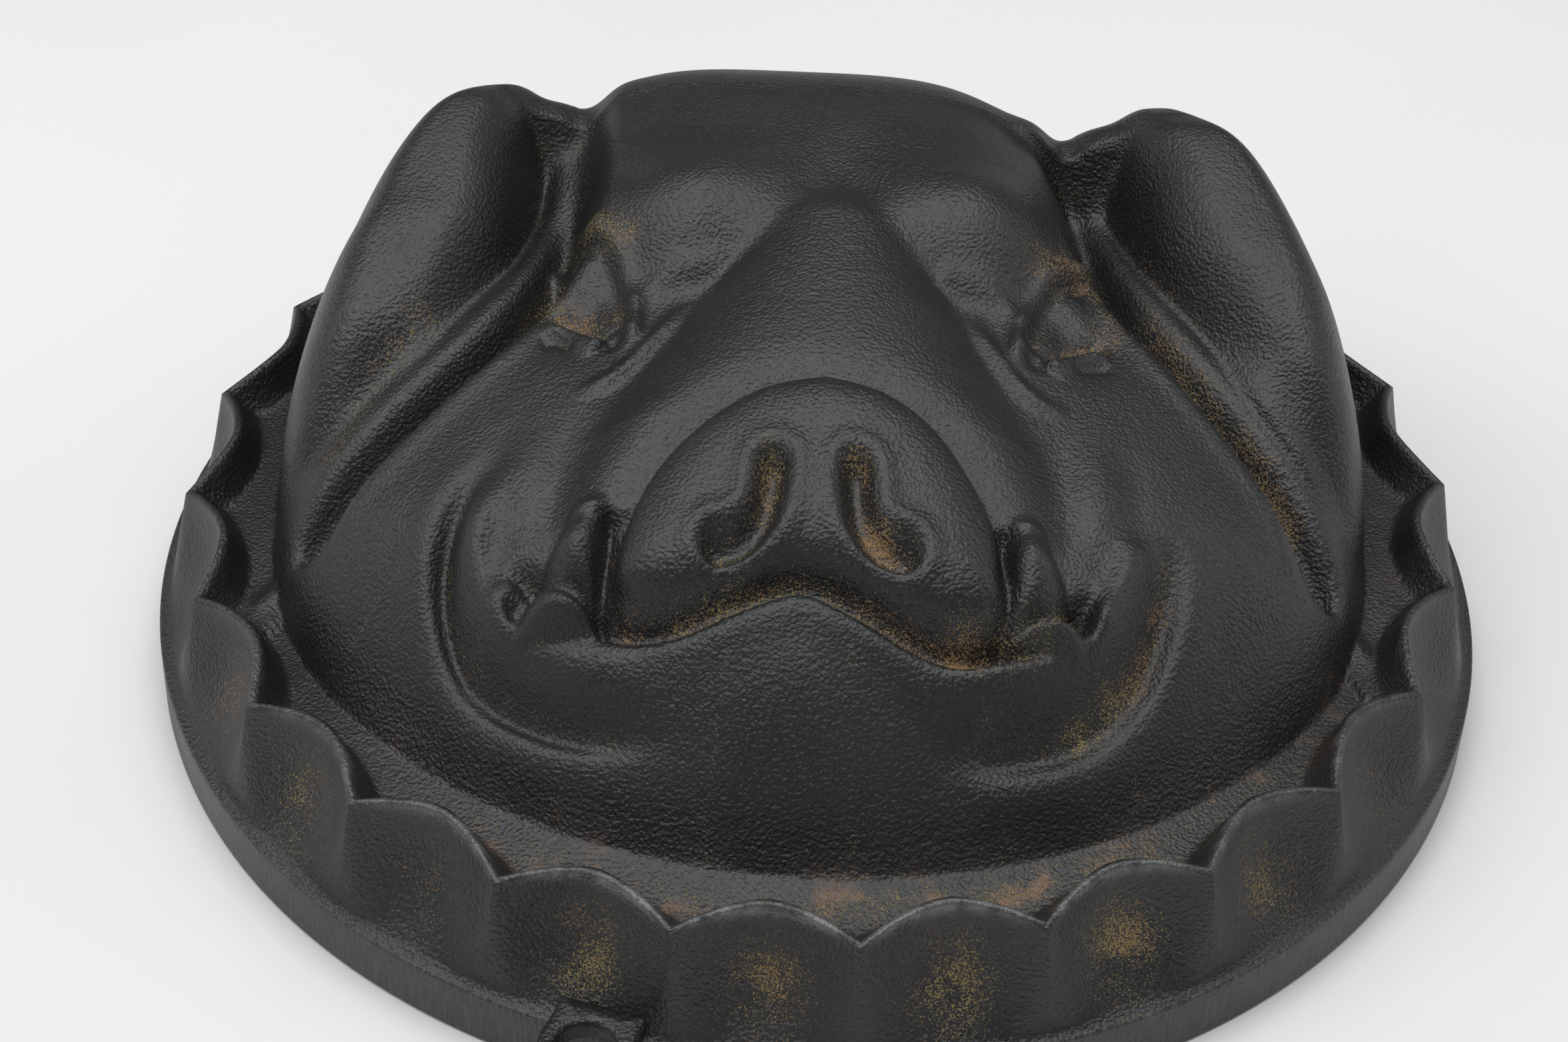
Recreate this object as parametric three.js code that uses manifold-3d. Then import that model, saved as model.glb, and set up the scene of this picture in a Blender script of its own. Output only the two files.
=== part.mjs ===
// A cast-iron pig's-head mould, lying mouth down: one thin casting with a scalloped rim and a hanging eye,
// and the wire ring in the eye. Millimetres, +Z up, the face's front toward -Y. It is drawn about the rim's centre,
// and moved at the end so that the origin is the middle of the whole part's outline, on the plane it rests on.
import * as THREE from "three";
import Module from "manifold-3d";

// ---------- sizes, each set once ----------
const RIM_RADIUS = 100;            // outside of the ground band
const BAND_HEIGHT = 8.5;           // the band's straight side
const WALL = 4;                    // iron thickness
const PETALS = 24;                 // scallops round the rim
const CUSP_ANGLE = 5;              // degrees, where the first cusp between two petals stands
const LEDGE_INSET = 1.6;           // from the band's outside to the petals' feet
const LEDGE_RISE = 0.8;            // petals' feet above the band
const CREST_INSET = 10.1;          // crest of a petal at its middle, in from the band's outside
const CREST_HEIGHT = 27.7;
const CUSP_OUT = 5.1;              // cusps stand this much further out than petal middles
const CUSP_DROP = 2;               // and this much lower
const LIP = 1.5;                   // thickness of the petals' upper edge
const BANK_WIDTH = 6.1;            // from there in to where the petals' backs reach the moat
const MOAT_HEIGHT = 19;            // floor of the moat between head and crest
const JAW_HALF_WIDTH = 81;
const JAW_FRONT = 72.8;
const JAW_BACK = 95;
const JAW_CENTRE = -8;
const JAW_RISE = 40.5;
const SKULL_HALF_WIDTH = 46;
const SKULL_HALF_LENGTH = 56;
const SKULL_CENTRE = 26;
const SKULL_RISE = 54.5;
const MUZZLE_TOP = 70;
const SNOUT_TILT = 0.42;           // fall of the snout's disc toward the front
const SNOUT_TOP = 68.5;            // height of the disc's upper edge
const SNOUT_BACK = -26;            // where that edge stands
const EAR_CROWN = 70;
const EAR_REACH = 81.6;            // the ears' outer foot
const EYE_ANGLE = 255;             // degrees, where the hanging eye stands
const EYE_STANDOUT = 4;            // the hole's middle, out from the band
const EYE_HOLE = 4.0;              // hole radius
const EYE_LIMB = 2.6;              // iron round the hole
const EYE_RISE = 2.7;              // the eye's top above the band
const EYE_THICKNESS = 3.6;
const WIRE_RADIUS = 0.9;
const RING_RADIUS = 5.8;           // centreline of the ring
const RING_CLEARANCE = 1.6;        // ring to the eye, at rest
const RING_LEAN = 55;              // degrees, the ring's plane from flat
const CREST_RADIUS = RIM_RADIUS - CREST_INSET;
const BANK_FOOT = CREST_RADIUS - BANK_WIDTH;
const EYE_CENTRE = RIM_RADIUS + EYE_STANDOUT;
const EYE_TOP = BAND_HEIGHT + EYE_RISE;
const AROUND = 120;                // facets round the casting, five to a petal
const AROUND_INSIDE = 60;
const FACET_SOFTNESS = 2.1;        // reach of the softening over the facets' own size

const { sqrt, abs, min, max, exp, sin, cos, hypot, PI } = Math;
const radians = (degrees) => (degrees * PI) / 180;

// ---------- small shaping functions ----------
const clamp = (v) => min(1, max(0, v));
const step = (from, to, v) => { const t = clamp((v - from) / (to - from)); return t * t * (3 - 2 * t); };
const arch = (t) => sqrt(1 - (1 - clamp(t)) ** 2);
const over = (a, b, blend) => 0.5 * (a + b + sqrt((a - b) ** 2 + blend * blend));
const under = (a, b, blend) => 0.5 * (a + b - sqrt((a - b) ** 2 + blend * blend));
function mound(x, y, cx, cy, rx, ry, turn = 0) {
  const c = cos(radians(turn)), s = sin(radians(turn));
  return exp(-(((c * (x - cx) + s * (y - cy)) / rx) ** 2 + ((c * (y - cy) - s * (x - cx)) / ry) ** 2));
}

// Nearest place on a line of points: distance, side (1 on the left of travel) and share of the way along it.
function nearest(x, y, line) {
  let best = { d: 1e9, side: 1, along: 0 };
  for (let i = 0; i + 1 < line.length; i++) {
    const [ax, ay] = line[i], dx = line[i + 1][0] - ax, dy = line[i + 1][1] - ay;
    const t = clamp(((x - ax) * dx + (y - ay) * dy) / (dx * dx + dy * dy));
    const d = hypot(x - ax - t * dx, y - ay - t * dy);
    const side = Math.sign(dx * (y - ay) - dy * (x - ax)) || 1;
    if (d < best.d) best = { d, side, along: (i + t) / (line.length - 1) };
  }
  return best;
}
const fade = (along, from = 0.15, to = 0.15) => step(0, from, along) * step(0, to, 1 - along);
// 1 on the line, falling off to its sides and ends.
function stroke(x, y, line, width, from, to) {
  const n = nearest(x, y, line);
  return exp(-((n.d / width) ** 2)) * fade(n.along, from, to);
}
// Signed distance into a closed outline, + inside.
function within(x, y, outline) {
  let odd = false;
  outline.forEach(([ax, ay], i) => {
    const [bx, by] = outline[(i + 1) % outline.length];
    if (ay > y !== by > y && x < ax + ((bx - ax) * (y - ay)) / (by - ay)) odd = !odd;
  });
  return nearest(x, y, [...outline, outline[0]]).d * (odd ? 1 : -1);
}

// ---------- the pig's face, as heights over the rim's plane ----------
const SNOUT_OUTLINE = [[0, -26], [-9, -28], [-17, -33], [-22.5, -39], [-25.5, -46], [-26.5, -53],
  [-24, -57], [-18, -57.8],
  [-10, -56], [-2, -53.2], [6, -55.8], [14, -59], [20, -59.4], [24.5, -57], [25.5, -52], [24, -45],
  [20.5, -38], [15, -31.5],
  [8, -27.5]];
const MOUTH = [[-42, -47], [-37, -52], [-31, -55.5], [-25, -58.5], [-18, -59.4], [-10, -57.4],
  [-2, -54.8], [5, -57.2],
  [13, -60.4], [20, -61], [27, -58.5], [33, -55], [39, -49]];
const EAR_EDGE = {
  left: [[41, 62], [41.5, 30], [42, 18], [45, 8], [51, -2], [58.5, -10], [65, -16], [70, -20.5], [76.5, -30]],
  right: [[36, 62], [40, 32], [43, 20], [48.5, 9], [55, 0], [61.5, -8], [67, -14.5], [71, -20], [76, -30]],
};
const SMILE = {
  left: [[-46.5, -29], [-50.2, -33.5], [-52.8, -40], [-53.2, -46], [-51.5, -52.5], [-49.2, -58],
    [-44.5, -62.4],
    [-36.6, -67], [-25.8, -71], [-16, -73]],
  right: [[47.6, -37], [48.2, -42], [47.7, -48.5], [45.5, -55.5], [42, -60.5], [37, -65], [30, -69],
    [22, -71.6], [14, -73]],
};
const UPPER_LID = [[36.5, 31], [39.8, 26.5], [40.3, 20], [38, 14], [35, 10.5], [32.2, 7], [29.8, 1],
  [27.8, -4], [27.6, -9],
  [28.2, -13.5]];

function jaw(x, y, side) {
  const length = y < JAW_CENTRE ? JAW_FRONT : JAW_BACK;
  const rho = hypot(x / JAW_HALF_WIDTH, (y - JAW_CENTRE) / length);
  const dome = JAW_RISE * max(0, 1 - rho ** 2.9) ** (0.52 + 0.2 * step(-30, -62, y));
  const cheeksAndChin = 3 * mound(side, y, 34, 0, 18, 16) + 4 * mound(x, y, -2, -62, 30, 15)
    + 1.2 * mound(x, y, -4, -66, 14, 8);
  return MOAT_HEIGHT - 3 + dome - 30 * max(0, rho - 1) + cheeksAndChin;
}
function skull(x, side, y) {
  const offCentre = x + 2 + 4 * step(24, 50, y);
  const round = 1 - (offCentre / SKULL_HALF_WIDTH) ** 4 - (abs(y - SKULL_CENTRE) / SKULL_HALF_LENGTH) ** 2.2;
  const top = MOAT_HEIGHT - 2 + SKULL_RISE * sqrt(max(0, round));
  const brow = 2 - 2 * step(10, 24, side) + 5 * step(28, 42, side);
  const front = 61.5 + 1.45 * (y - brow) + 14 * exp(-((side / 9) ** 2));
  return under(top, front, 9) + 4 * mound(side, y, 22, 13, 15, 10) - 1.6 * mound(side, y, 0, 16, 7, 12);
}
// The saddle fills the notch between the skull and the backs of the ears.
const saddle = (side, y) =>
  side > 60 ? -50 : 62 - 0.6 * max(0, 42 - y) - 50 * step(46, 84, y) - 0.25 * max(0, side - 49) ** 2;
function muzzle(side, y, inSnout) {
  const halfWidth = 35 * sqrt(min(1, max(0.02, (17 - y) / 46)));
  const top = MUZZLE_TOP - 3 * step(14, -24, y) - 0.06 * max(0, y - 8) ** 2;
  const z = top - 26 + 26 * sqrt(max(0, 1 - (side / halfWidth) ** 2.2)) - 2 * max(0, side - halfWidth);
  const besideDisc = SNOUT_TOP - 5.2 + SNOUT_TILT * (y - SNOUT_BACK) - 3.5 * (side / 25) ** 2
    + 0.55 * max(0, -inSnout);
  return under(z, besideDisc, 1.5) - 1.6 * max(0, -43 - y);
}
function snoutDisc(side, y, inSnout) {
  const plane = SNOUT_TOP + SNOUT_TILT * (y - SNOUT_BACK) - 3.5 * (side / 25) ** 2;
  return plane - 4.4 * (inSnout > 0 ? 1 - arch(inSnout / 8) : 1) + 4 * min(0, inSnout);
}
function eyeAndLids(side, y) {
  let z = 2.2 * stroke(side, y, UPPER_LID, 1.6) - 4 * mound(side, y, 35.5, 1, 7.5, 10, 15);
  z -= 1.8 * stroke(side, y, [[39, 14], [36, 10], [33.3, 7], [31, 2], [29.4, -4], [29.2, -8]], 1.2);
  z += 2.6 * mound(side, y, 35.4, 5, 3.2, 5.5, 25);
  z -= 1.4 * stroke(side, y, [[41, -0.8], [37.5, -2.2], [34, -5.5], [31, -8.3]], 1.3);
  z += 1.4 * stroke(side, y, [[41.5, -3.6], [38, -4.8], [34.7, -8], [31.8, -11]], 1.5);
  const bag = [[19.5, -1.5], [22.5, -7.5], [26.5, -14], [30.5, -18.2], [35.5, -19.5]];
  return z + 1.3 * stroke(side, y, bag, 1.6, 0.3, 0.3);
}
function mouthAndTusks(x, y, side) {
  const lips = nearest(x, y, MOUTH);
  let z = -2.8 * exp(-((lips.d / 1.8) ** 2)) * fade(lips.along, 0.06, 0.06);
  z += 1.2 * exp(-(((lips.d + lips.side * 3.4) / 2.6) ** 2)) * fade(lips.along, 0.1, 0.1);
  z += 3 * mound(side, y, 39.8, -52, 3.6, 5, 10) - 3 * mound(side, y, 38.6, -52.4, 2, 2.3);
  const tusk = nearest(side, y, [[29, -40], [30, -45], [31.3, -50], [32, -54], [32.2, -57.5]]);
  const leaf = clamp(1 - (tusk.d / (1.4 + 4.9 * tusk.along ** 0.6)) ** 2);
  return z + 6.2 * leaf * step(0, 0.45, tusk.along) * step(0, 0.1, 1 - tusk.along);
}
function foldsAndNostrils(x, y, side) {
  const nostril = [[5.6, -41], [5.9, -45], [6.8, -48.4], [9.2, -51], [12.8, -52.2]];
  let z = -3.4 * stroke(abs(x + 0.8), y, nostril, 2.3, 0.05, 0.05);
  for (const [hand, width] of [["left", 1.7], ["right", 2.4]]) {
    const n = nearest(x, y, SMILE[hand]), inside = hand === "left" ? n.side : -n.side;
    const bank = 2.2 * exp(-(((n.d - width - 2.2) / 2.6) ** 2)) * (0.9 + 0.4 * inside);
    z += (bank - 3.3 * exp(-((n.d / width) ** 2))) * fade(n.along, 0.28, 0.25);
  }
  return z - 0.9 * stroke(side, y, [[31.5, -22], [33.5, -30], [35.5, -38], [36.5, -45]], 3.4, 0.4, 0.35)
    + 0.9 * mound(side, y, 39.5, -35, 4.5, 11, -8);
}
// An ear's height, how much the gap beside it sinks, and how much the cheek's edge beyond the gap rises.
function ear(x, y, hand) {
  const n = nearest(x * hand, y, EAR_EDGE[hand < 0 ? "left" : "right"]), inward = n.d * n.side;
  const crown = EAR_CROWN - 8 * step(40, 8, y) - 10 * step(18, -8, y) - 25 * step(2, -34, y) - 30 * step(36, 84, y)
    - 0.016 * (inward - 13) ** 2;
  const foot = MOAT_HEIGHT - 1;
  const shape = arch((EAR_REACH - hypot(x, y)) / 13) * arch(inward / (6 + 9 * step(-8, 15, y) - 5 * step(30, 50, y)));
  const rolled = 2.2 * exp(-(((inward - 3.4) / 2.2) ** 2)) - 1.4 * exp(-(((inward - 8.5) / 3) ** 2));
  const z = foot + (crown - foot) * shape + rolled * step(18, 2, y) * step(-33, -24, y);
  const ends = fade(n.along, 0.12, 0.12);
  const gap = exp(-(((inward + 2.4) / 2.7) ** 2)) * ends * (1 - 0.75 * step(12, 32, y));
  const edge = exp(-(((inward + 7.2) / 2) ** 2)) * ends * (1 - 0.6 * step(14, 32, y));
  return { z: inward > 0 ? z : -50, gap, edge };
}
function headHeight(x, y) {
  const middle = -1.9 + (y + 59) * 0.03, side = abs(x - middle), inSnout = within(x, y, SNOUT_OUTLINE);
  let z = over(jaw(x, y, side), skull(x, side, y), 5);
  z = over(over(z, saddle(side, y), 3), muzzle(side, y, inSnout), 3);
  if (inSnout > -5) z = over(z, snoutDisc(side, y, inSnout), 0.8);
  z += eyeAndLids(side, y) + mouthAndTusks(x, y, side) + foldsAndNostrils(x, y, side);
  for (const hand of [-1, 1]) {
    const e = ear(x, y, hand), inside = step(22, 34, z);
    z = over(z, e.z, 1) - (8 * e.gap - 1.4 * e.edge) * inside;
  }
  return over(z, MOAT_HEIGHT - 3, 8);
}
// The petals' backs rise from the moat to the crest.
function bankHeight(x, y) {
  const r = hypot(x, y), top = crest((Math.atan2(y, x) * 180) / PI);
  const t = clamp((r - BANK_FOOT) / (top.r - LIP - BANK_FOOT));
  return MOAT_HEIGHT - 3 + (top.z - 0.4 - MOAT_HEIGHT + 3) * t ** 1.1;
}
const skinHeight = (x, y) => over(headHeight(x, y), bankHeight(x, y), 1);

// The face is read as the mean of a few nearby heights, so that its steep edges fall cleanly between facets.
const softened = (height, reach) => (x, y) => {
  let sum = 2 * height(x, y);
  for (let k = 0; k < 8; k++) sum += height(x + reach * cos((k * PI) / 4), y + reach * sin((k * PI) / 4));
  return sum / 10;
};
const softHead = softened(skinHeight, FACET_SOFTNESS);

// ---------- the scalloped rim ----------
// across runs -1..1 over one petal, cusp to cusp.
const across = (angle) => { const t = ((angle - CUSP_ANGLE) * PETALS) / 360; return (t - Math.floor(t)) * 2 - 1; };
const crest = (angle) => {
  const u = abs(across(angle));
  return { r: CREST_RADIUS + CUSP_OUT * u ** 1.7, z: CREST_HEIGHT - CUSP_DROP * u ** 2 };
};
const petalFoot = { r: RIM_RADIUS - LEDGE_INSET, z: BAND_HEIGHT + LEDGE_RISE };
function petal(angle, t) {
  const top = crest(angle), u = abs(across(angle));
  const bowl = clamp(1 - (u / (1.04 - 0.28 * t)) ** 2.4) ** 1.3, hollow = 2.3 * bowl * sin(PI * t ** 0.9) ** 0.8;
  const r = top.r + (petalFoot.r - top.r) * t - 0.85 * hollow;
  return { r, z: top.z + (petalFoot.z - top.z) * t - 0.45 * hollow };
}
// Height of the outer skin anywhere over the rim's plane, or -99 beyond it.
function outerHeight(x, y) {
  const r = hypot(x, y), angle = (Math.atan2(y, x) * 180) / PI, top = crest(angle);
  if (r >= RIM_RADIUS) return -99;
  if (r >= petalFoot.r) return BAND_HEIGHT;
  if (r >= top.r) return top.z + ((petalFoot.z - top.z) * (r - top.r)) / (petalFoot.r - top.r) - 0.9;
  return skinHeight(x, y);
}
// The inner skin keeps one wall's distance under the outer skin.
function innerHeight(x, y) {
  let z = outerHeight(x, y) - WALL;
  for (const share of [0.45, 0.75, 0.97]) {
    for (let k = 0; k < 12; k++) {
      const a = (k * PI) / 6, reach = WALL * share;
      z = min(z, outerHeight(x + reach * cos(a), y + reach * sin(a)) - sqrt(WALL * WALL - reach * reach));
    }
  }
  return z;
}

const softInside = softened(innerHeight, 3);

// ---------- the casting's two skins as rings of points ----------
const ringOf = (count, place) => Array.from({ length: count }, (_, i) => {
  const angle = CUSP_ANGLE + (360 * i) / count, { r, z } = place(angle);
  const x = r * cos(radians(angle)), y = r * sin(radians(angle));
  return [x, y, typeof z === "function" ? z(x, y) : z];
});
const HEAD_SHARES = [0.045, 0.1, 0.16, 0.22, 0.275, 0.33, 0.38, 0.425, 0.465, 0.505, 0.54, 0.575, 0.61,
  0.645, 0.68, 0.715,
  0.75, 0.785, 0.82, 0.855, 0.885, 0.912, 0.935, 0.957, 0.979];
function outerRings() {
  const rings = HEAD_SHARES.map((share) => ringOf(AROUND, (a) => ({ r: (crest(a).r - LIP) * share, z: softHead })));
  rings.push(ringOf(AROUND, (a) => ({ r: crest(a).r - LIP, z: crest(a).z - 0.3 })));
  for (const t of [0, 0.25, 0.5, 0.75, 1]) rings.push(ringOf(AROUND, (a) => petal(a, t)));
  rings.push(ringOf(AROUND, () => ({ r: RIM_RADIUS, z: BAND_HEIGHT })));
  rings.push(ringOf(AROUND, () => ({ r: RIM_RADIUS, z: 0 })));
  return rings;
}
const INNER_SHARES = [0.104, 0.208, 0.312, 0.406, 0.49, 0.562, 0.635, 0.698, 0.76, 0.812, 0.865, 0.917, 0.958];
function innerRings() {
  const mouth = RIM_RADIUS - WALL;
  const skin = (r) => ringOf(AROUND_INSIDE, () => ({ r, z: r > CREST_RADIUS ? innerHeight : softInside }));
  const wall = (z) => ringOf(AROUND_INSIDE, () => ({ r: mouth, z }));
  return [...INNER_SHARES.map((share) => skin(mouth * share)), wall(BAND_HEIGHT - 3.2), wall(0)];
}

// Triangles between two rings whose counts are equal, or one twice the other; top is centre-side or upper.
function strip(faces, first, firstCount, second, secondCount) {
  const firstIsFiner = firstCount >= secondCount;
  const many = max(firstCount, secondCount), few = min(firstCount, secondCount), ratio = many / few;
  const big = firstIsFiner ? first : second, small = firstIsFiner ? second : first;
  for (let i = 0; i < many; i++) {
    const a = big + i, b = big + ((i + 1) % many), c = small + (Math.floor(i / ratio) % few);
    faces.push(firstIsFiner ? [a, c, b] : [a, b, c]);
    if ((i + 1) % ratio === 0) {
      const d = small + ((Math.floor(i / ratio) + 1) % few);
      faces.push(firstIsFiner ? [b, c, d] : [b, d, c]);
    }
  }
}
function castingShell() {
  const outer = outerRings(), inner = innerRings();
  const points = [[0, 0, softHead(0, 0)]], faces = [];
  const starts = outer.map((ring) => { const at = points.length; points.push(...ring); return at; });
  for (let i = 0; i < AROUND; i++) faces.push([0, starts[0] + i, starts[0] + ((i + 1) % AROUND)]);
  for (let k = 0; k + 1 < outer.length; k++) strip(faces, starts[k], AROUND, starts[k + 1], AROUND);
  const innerStarts = inner.map((ring) => { const at = points.length; points.push(...ring); return at; });
  const last = inner.length - 1;
  strip(faces, starts[outer.length - 1], AROUND, innerStarts[last], AROUND_INSIDE);
  for (let k = last; k > 0; k--) strip(faces, innerStarts[k], AROUND_INSIDE, innerStarts[k - 1], AROUND_INSIDE);
  const apex = points.length;
  points.push([0, 0, softInside(0, 0)]);
  const around = innerStarts[0];
  for (let i = 0; i < AROUND_INSIDE; i++) faces.push([apex, around + ((i + 1) % AROUND_INSIDE), around + i]);
  return { points, faces };
}

// ---------- solids ----------
const manifold = await Module();
manifold.setup();
const { Manifold, CrossSection, Mesh } = manifold;
const solidOf = ({ points, faces }) => {
  const vertProperties = new Float32Array(points.flat()), triVerts = new Uint32Array(faces.flat());
  return new Manifold(new Mesh({ numProp: 3, vertProperties, triVerts }));
};
function geometryOf(solid) {
  const mesh = solid.getMesh(), geometry = new THREE.BufferGeometry();
  const positions = new Float32Array(mesh.numVert * 3);
  for (let i = 0; i < mesh.numVert; i++) {
    for (let k = 0; k < 3; k++) positions[3 * i + k] = mesh.vertProperties[mesh.numProp * i + k];
  }
  geometry.setAttribute("position", new THREE.BufferAttribute(positions, 3));
  geometry.setIndex(new THREE.BufferAttribute(new Uint32Array(mesh.triVerts), 1));
  geometry.computeVertexNormals();
  return geometry;
}
const eyeDirection = radians(EYE_ANGLE);
const eyeMiddle = EYE_TOP - EYE_THICKNESS / 2;

function eyeTab() {
  const round = CrossSection.circle(EYE_HOLE + EYE_LIMB, 32);
  const root = RIM_RADIUS - LEDGE_INSET - 2;
  const reach = EYE_CENTRE - root, half = EYE_HOLE + EYE_LIMB;
  const neck = CrossSection.square([reach, 2 * half]).translate([-reach, -half]);
  const tab = round.add(neck).extrude(EYE_THICKNESS);
  return tab.translate([EYE_CENTRE, 0, EYE_TOP - EYE_THICKNESS]).rotate([0, 0, EYE_ANGLE]);
}
function casting() {
  const drill = Manifold.cylinder(EYE_TOP + 6, EYE_HOLE, EYE_HOLE, 28);
  const hole = drill.translate([EYE_CENTRE, 0, -2]).rotate([0, 0, EYE_ANGLE]);
  return solidOf(castingShell()).add(eyeTab().subtract(hole));
}
// The ring's centre stands out from the eye's limb, so that the wire hangs against the limb with a clearance.
const limbInside = EYE_CENTRE + EYE_HOLE;
const ringCentre = limbInside - RING_CLEARANCE - WIRE_RADIUS + RING_RADIUS;
function ringGeometry() {
  const geometry = new THREE.TorusGeometry(RING_RADIUS, WIRE_RADIUS, 12, 48);
  geometry.rotateX(radians(RING_LEAN));
  geometry.translate(ringCentre, 0, eyeMiddle);
  geometry.rotateZ(eyeDirection);
  return geometry;
}

function named(name, geometry, colour, metalness, roughness) {
  const mesh = new THREE.Mesh(geometry, new THREE.MeshStandardMaterial({ color: colour, metalness, roughness }));
  mesh.name = name;
  return mesh;
}

const part = new THREE.Group();
part.name = "pig_head_mould";
part.add(named("mould_casting", geometryOf(casting()), 0x2e2e30, 0.6, 0.55));
part.add(named("hanging_ring", ringGeometry(), 0x6f6f70, 1, 0.4));
const middle = new THREE.Box3().setFromObject(part, true).getCenter(new THREE.Vector3());
for (const mesh of part.children) mesh.geometry.translate(-middle.x, -middle.y, 0);
export default part;
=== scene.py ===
import math

import bmesh
import bpy
import numpy as np
from mathutils import Matrix, Quaternion, Vector


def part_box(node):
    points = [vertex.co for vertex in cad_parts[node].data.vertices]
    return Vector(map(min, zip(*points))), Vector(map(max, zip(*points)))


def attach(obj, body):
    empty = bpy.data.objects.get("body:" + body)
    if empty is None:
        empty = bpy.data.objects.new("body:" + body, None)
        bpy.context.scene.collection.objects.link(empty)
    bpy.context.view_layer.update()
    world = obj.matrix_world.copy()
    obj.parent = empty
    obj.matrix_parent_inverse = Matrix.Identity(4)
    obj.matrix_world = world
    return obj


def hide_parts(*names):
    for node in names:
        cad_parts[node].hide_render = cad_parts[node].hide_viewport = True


# ---------------------------------------------------------------- sizes, in millimetres
MM = 0.001
RIM_RADIUS = 100.0
BAND_HEIGHT = 8.5
WALL = 4.0
PETALS = 24
CUSP_ANGLE = 5.0                   # degrees, where the first cusp stands
CREST_RADIUS, CREST_HEIGHT = 89.9, 27.7
CUSP_OUT, CUSP_DROP = 5.1, 2.0
LIP = 1.5                          # thickness of the petals' upper edge
BANK_FOOT = 83.8                   # radius where the petals' backs reach the moat
PETAL_FOOT_RADIUS, PETAL_FOOT_HEIGHT = 98.4, 9.3
MOAT_HEIGHT = 19.0
EYE_ANGLE, EYE_CENTRE = 255.0, 104.0
JAW_HALF_WIDTH, JAW_FRONT, JAW_BACK = 81.0, 71.5, 95.0
JAW_CENTRE, JAW_RISE = -8, 40.5
SKULL_HALF_WIDTH, SKULL_HALF_LENGTH = 46, 56
SKULL_CENTRE, SKULL_RISE = 26, 52.3
MUZZLE_TOP, MUZZLE_DEPTH = 70, 26
SNOUT_TOP, SNOUT_BACK = 68.9, 26   # height of the disc's upper edge, and how far forward that is
SNOUT_TILT = 0.42                  # the disc's fall toward the front
SNOUT_CROWN, SNOUT_HALF_WIDTH = 3.5, 25
SNOUT_EDGE, SNOUT_EDGE_WIDTH = 4.6, 8   # the disc's rounded edge
EAR_CROWN, EAR_REACH = 68, 81.6
RELIEF_BASE = MOAT_HEIGHT - 3      # where the head's own shapes start, under the moat's floor
EYE_HOLE, EYE_LIMB = 4.0, 2.6
EYE_TOP, EYE_THICKNESS = 11.2, 3.6
AROUND = 720                       # facets round the casting
HEAD_RINGS = 250

# The camera, about the rim's centre.
CAMERA_PLACE = (2.0, -389.3, 337.3)
CAMERA_AIM = (-5.9, 22.6, 0.0)
CAMERA_ROLL = 2.05                 # degrees
CAMERA_LENS = 75.94                # on a 36 mm sensor


# ---------------------------------------------------------------- shaping functions
def step(start, end, v):
    t = np.clip((v - start) / (end - start), 0, 1)
    return t * t * (3 - 2 * t)


def arch(t):
    return np.sqrt(1 - (1 - np.clip(t, 0, 1)) ** 2)


def over(a, b, blend):
    return 0.5 * (a + b + np.sqrt((a - b) ** 2 + blend * blend))


def under(a, b, blend):
    return 0.5 * (a + b - np.sqrt((a - b) ** 2 + blend * blend))


def mound(x, y, cx, cy, rx, ry, turn=0.0):
    c, s = math.cos(math.radians(turn)), math.sin(math.radians(turn))
    u, v = (c * (x - cx) + s * (y - cy)) / rx, (-s * (x - cx) + c * (y - cy)) / ry
    return np.exp(-(u * u + v * v))


def curve(points, per_span=6):
    """A smooth line through the points."""
    p, out = np.array(points, float), []
    for i in range(len(p) - 1):
        a, b, c, d = p[max(i - 1, 0)], p[i], p[i + 1], p[min(i + 2, len(p) - 1)]
        for t in np.arange(per_span) / per_span:
            out.append(0.5 * (2 * b + (c - a) * t + (2 * a - 5 * b + 4 * c - d) * t * t
                              + (3 * b - 3 * c + d - a) * t ** 3))
    return np.array(out + [p[-1]])


def nearest(x, y, points, reach=14.0):
    """Distance to a line, side (+ on the left of travel) and share of the way along.

    Points beyond reach count as far off and on the right.
    """
    line = curve(points)
    close = ((x > line[:, 0].min() - reach) & (x < line[:, 0].max() + reach)
             & (y > line[:, 1].min() - reach) & (y < line[:, 1].max() + reach))
    px, py = x[close], y[close]
    best, side, along = np.full(px.shape, 1e9), np.ones(px.shape), np.zeros(px.shape)
    spans = len(line) - 1
    for i in range(spans):
        (ax, ay), (dx, dy) = line[i], line[i + 1] - line[i]
        t = np.clip(((px - ax) * dx + (py - ay) * dy) / (dx * dx + dy * dy), 0, 1)
        d = (px - ax - t * dx) ** 2 + (py - ay - t * dy) ** 2
        nearer = d < best
        best[nearer], along[nearer] = d[nearer], ((i + t) / spans)[nearer]
        side[nearer] = np.sign(dx * (py - ay) - dy * (px - ax))[nearer]
    distance, sides, places = np.full(x.shape, 1e3), -np.ones(x.shape), np.zeros(x.shape)
    distance[close], sides[close], places[close] = np.sqrt(best), side, along
    return distance, sides, places


def fade(along, start=0.15, end=0.15):
    return step(0, start, along) * step(0, end, 1 - along)


def stroke(x, y, points, width, start=0.15, end=0.15):
    """1 on the line, falling off to its sides and ends."""
    d, _, along = nearest(x, y, points)
    return np.exp(-(d / width) ** 2) * fade(along, start, end)


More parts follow.
